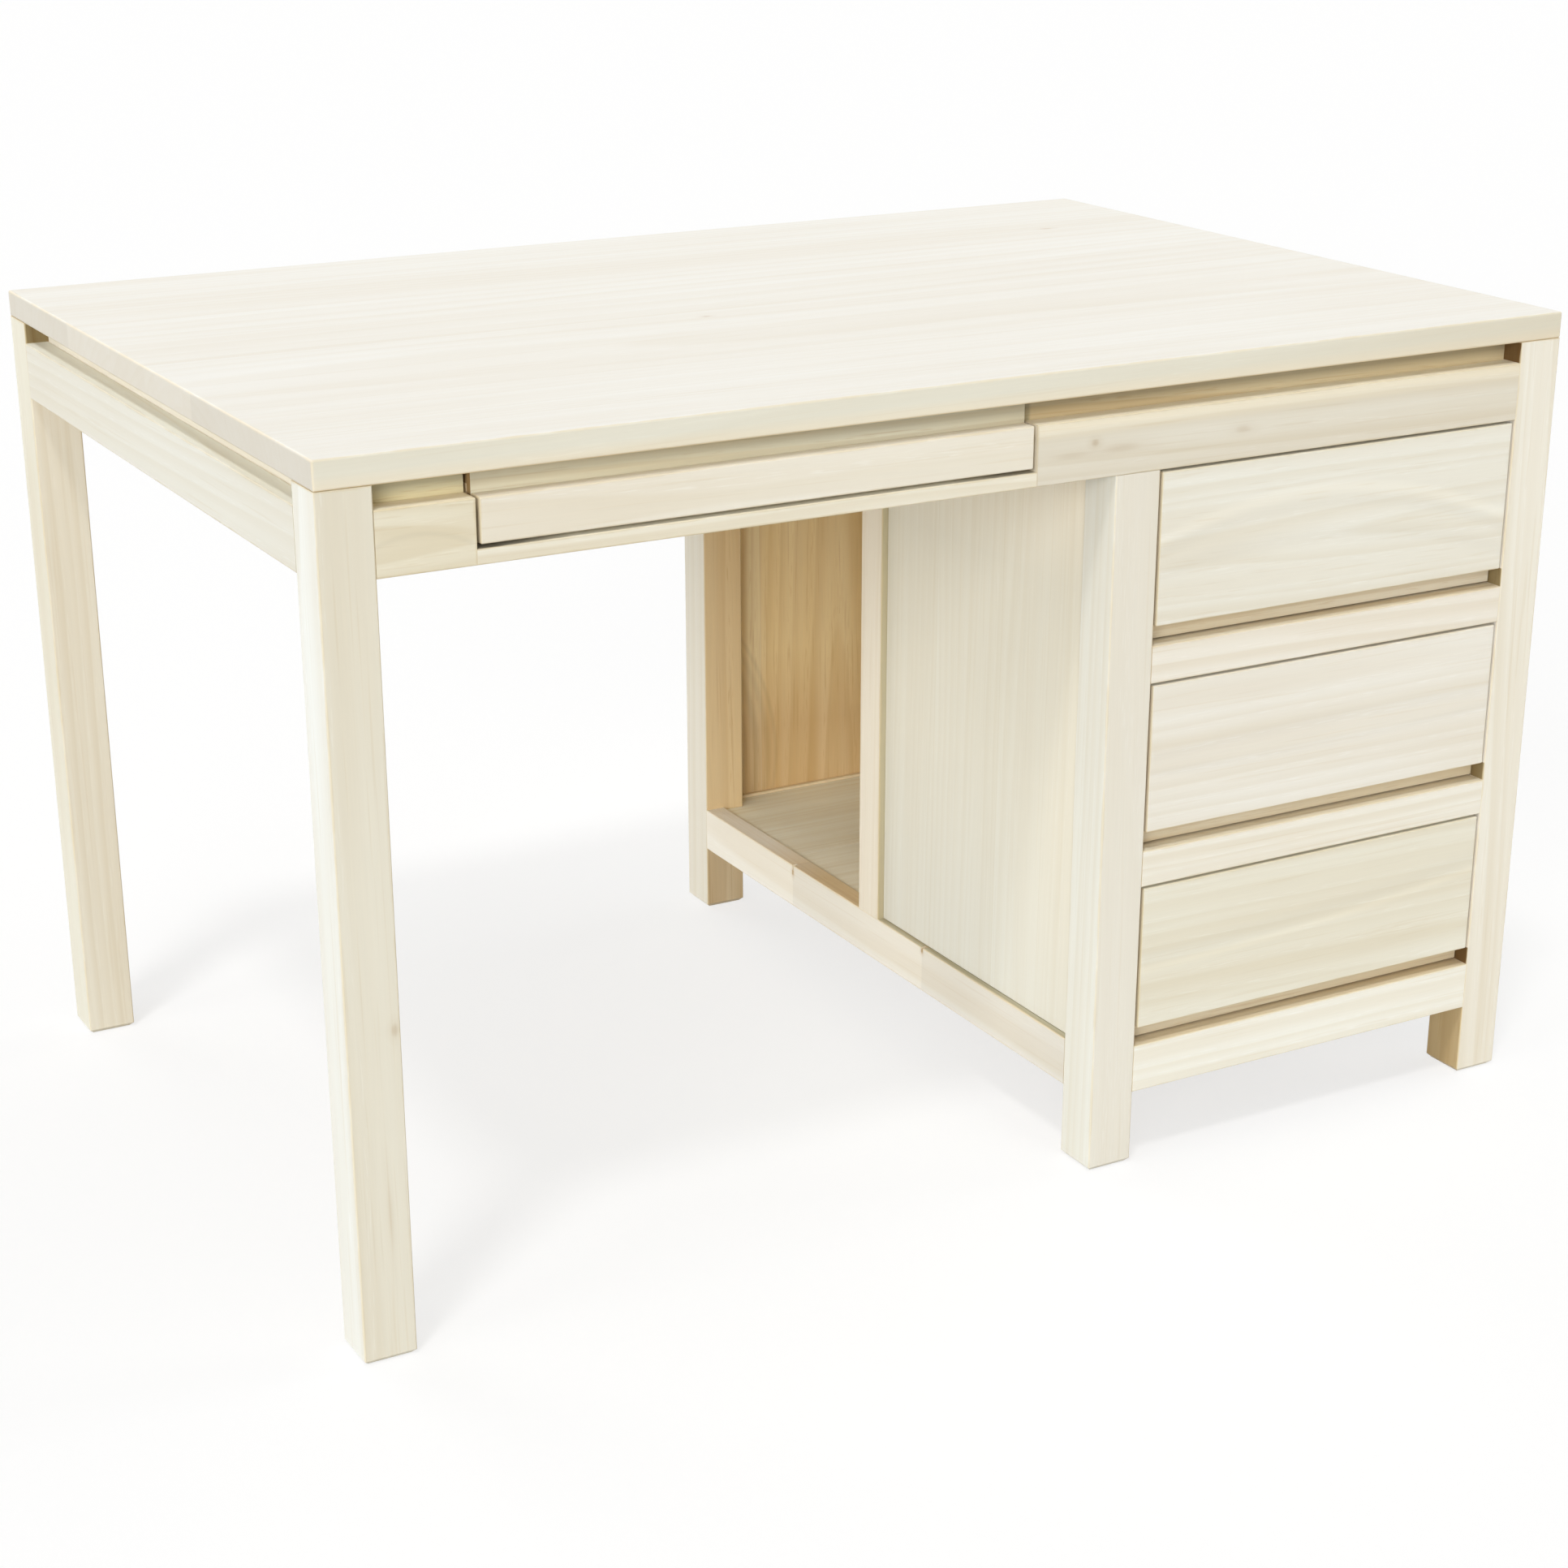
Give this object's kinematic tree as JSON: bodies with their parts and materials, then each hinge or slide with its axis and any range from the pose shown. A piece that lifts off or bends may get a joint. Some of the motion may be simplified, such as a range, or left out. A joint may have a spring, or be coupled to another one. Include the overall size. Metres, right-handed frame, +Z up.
{
  "type": "computer desk",
  "caption": "Limed wooden desk with a pencil drawer over the kneehole and a right-hand pedestal of drawers in front of an open niche for a computer tower.",
  "frame": {"origin": "on the floor, under the middle of the top", "axes": "+X to the right along the front, +Y from the front to the back, +Z up; the drawers open towards -Y"},
  "size_m": [1.2, 0.8, 0.75],
  "materials": {
    "limed_wood": "solid wood, sanded, limed to a pale cream and waxed matt",
    "natural_wood": "the same wood left unlimed, planed",
    "plywood": "thin sanded plywood",
    "zinc_steel": "zinc plated"
  },
  "bodies": {
    "desk_frame": {"back_apron": "limed_wood", "back_batten": "natural_wood", "back_bottom_rail": "limed_wood", "back_panel": "limed_wood", "divider_panel": "natural_wood", "drawer_bearers": "natural_wood", "floor_cleats": "natural_wood", "frame_screws": "zinc_steel", "front_apron_left": "limed_wood", "front_apron_right": "limed_wood", "front_battens": "natural_wood", "front_bottom_rail": "limed_wood", "front_lower_rail": "limed_wood", "inner_post_front": "limed_wood", "inner_post_rear": "limed_wood", "left_apron": "limed_wood", "left_bottom_rail": "limed_wood", "left_side_panel": "limed_wood", "left_stile": "limed_wood", "leg_front_left": "limed_wood", "leg_front_right": "limed_wood", "leg_rear_left": "limed_wood", "leg_rear_right": "limed_wood", "lower_drawer_rail": "limed_wood", "pedestal_floor": "natural_wood", "pedestal_runners": "natural_wood", "pedestal_top_rail": "natural_wood", "pencil_runners": "natural_wood", "right_apron": "limed_wood", "right_bottom_rail": "limed_wood", "right_side_panels": "limed_wood", "right_stile": "limed_wood", "side_battens": "natural_wood", "tabletop": "limed_wood", "top_buttons": "natural_wood", "upper_drawer_rail": "limed_wood"},
    "pencil_drawer": {"pencil_drawer_back": "natural_wood", "pencil_drawer_bottom": "plywood", "pencil_drawer_box_front": "natural_wood", "pencil_drawer_front": "limed_wood", "pencil_drawer_screws": "zinc_steel", "pencil_drawer_sides": "natural_wood"},
    "upper_drawer": {"upper_drawer_back": "natural_wood", "upper_drawer_bottom": "plywood", "upper_drawer_box_front": "natural_wood", "upper_drawer_front": "limed_wood", "upper_drawer_screws": "zinc_steel", "upper_drawer_sides": "natural_wood"},
    "middle_drawer": {"middle_drawer_back": "natural_wood", "middle_drawer_bottom": "plywood", "middle_drawer_box_front": "natural_wood", "middle_drawer_front": "limed_wood", "middle_drawer_screws": "zinc_steel", "middle_drawer_sides": "natural_wood"},
    "lower_drawer": {"lower_drawer_back": "natural_wood", "lower_drawer_bottom": "plywood", "lower_drawer_box_front": "natural_wood", "lower_drawer_front": "limed_wood", "lower_drawer_screws": "zinc_steel", "lower_drawer_sides": "natural_wood"}
  },
  "joints": [
    {"name": "pencil_drawer_slide", "type": "slide", "parent": "desk_frame", "child": "pencil_drawer", "axis": [0, -1, 0], "range_m": [0, 0.28]},
    {"name": "upper_drawer_slide", "type": "slide", "parent": "desk_frame", "child": "upper_drawer", "axis": [0, -1, 0], "range_m": [0, 0.24]},
    {"name": "middle_drawer_slide", "type": "slide", "parent": "desk_frame", "child": "middle_drawer", "axis": [0, -1, 0], "range_m": [0, 0.24]},
    {"name": "lower_drawer_slide", "type": "slide", "parent": "desk_frame", "child": "lower_drawer", "axis": [0, -1, 0], "range_m": [0, 0.24]}
  ]
}
